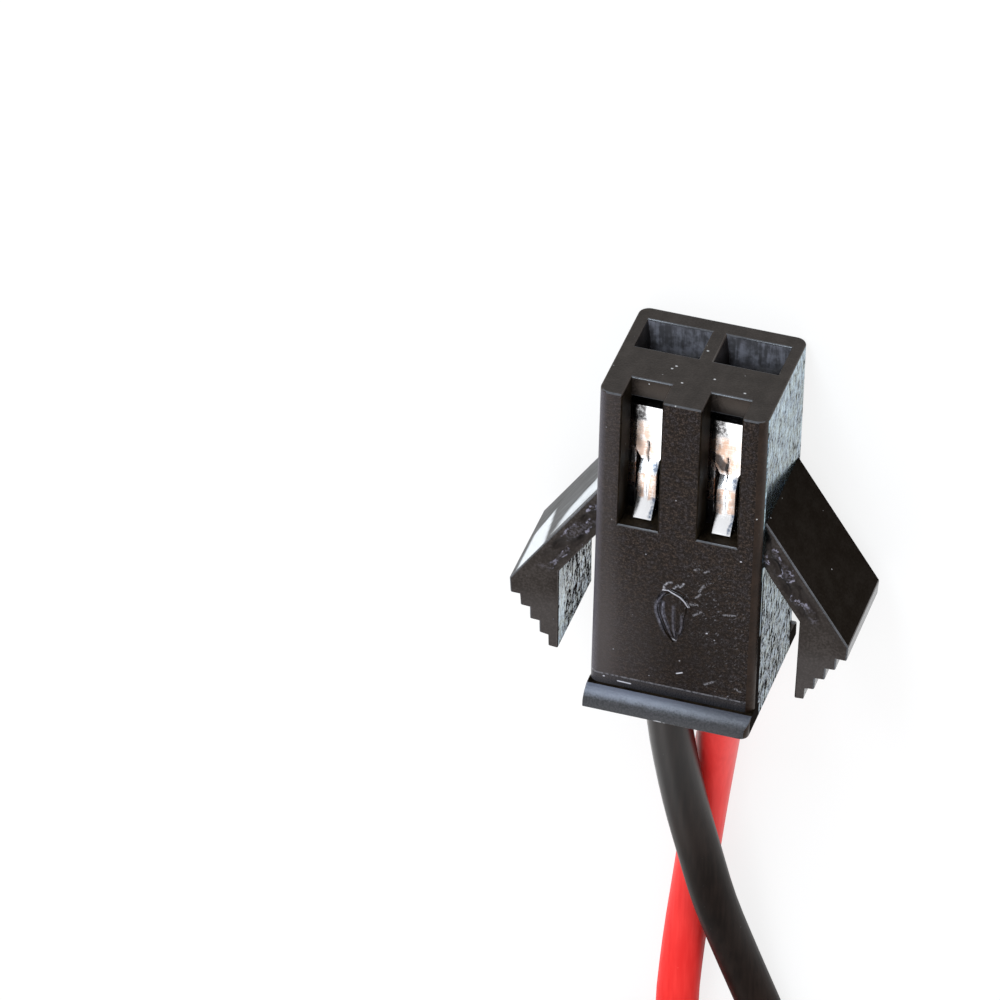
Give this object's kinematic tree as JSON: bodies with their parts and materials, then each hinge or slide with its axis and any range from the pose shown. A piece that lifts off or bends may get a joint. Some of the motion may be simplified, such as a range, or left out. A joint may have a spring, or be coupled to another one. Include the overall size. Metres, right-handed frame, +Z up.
{
  "type": "two-way wire-to-wire socket plug",
  "caption": "Small black two-way socket plug with sprung latch arms on its sides, contacts behind window slots, and a black and a red lead folded up behind it",
  "frame": {"origin": "On the floor under the middle of the box round the housing, arms and contacts, leads left out", "axes": "+X across the two ways to the side of the red lead, +Y from the lead end to the mating mouth, +Z up out of the window face; the housing leans by about three degrees on its back lip"},
  "size_m": [0.0135, 0.0753, 0.0058],
  "materials": {
    "housing_plastic": "satin black moulding with a fine eroded texture",
    "arm_plastic": "satin black moulding, smooth outside",
    "contact_tin": "bright tin plate on bronze strip",
    "strand_copper": "bare drawn copper strands",
    "black_sleeve": "soft satin black insulation",
    "red_sleeve": "soft satin red insulation",
    "folded_sleeve": "black and red insulation folded together",
    "tie_plastic": "black strap",
    "tip_tin": "tinned stripped end"
  },
  "bodies": {
    "housing": {"socket_housing": "housing_plastic", "contact_left": "contact_tin", "contact_right": "contact_tin", "black_conductor": "strand_copper", "red_conductor": "strand_copper", "black_lead": "black_sleeve", "red_lead": "red_sleeve", "lead_hank": "folded_sleeve", "hank_tie": "tie_plastic", "black_tip": "tip_tin", "red_tip": "tip_tin"},
    "arm_left": {"latch_arm_left": "arm_plastic"},
    "arm_right": {"latch_arm_right": "arm_plastic"}
  },
  "joints": [
    {"name": "arm_left_flex", "type": "hinge", "parent": "housing", "child": "arm_left", "pos_m": [-0.00317, 0.00015, 0.0026], "axis": [0, 0.0529, 0.9986], "range_deg": [0, 12], "stiffness_Nm_per_rad": 0.09},
    {"name": "arm_right_flex", "type": "hinge", "parent": "housing", "child": "arm_right", "pos_m": [0.00317, 0.00015, 0.0026], "axis": [0, -0.0529, -0.9986], "range_deg": [0, 12], "stiffness_Nm_per_rad": 0.09}
  ]
}
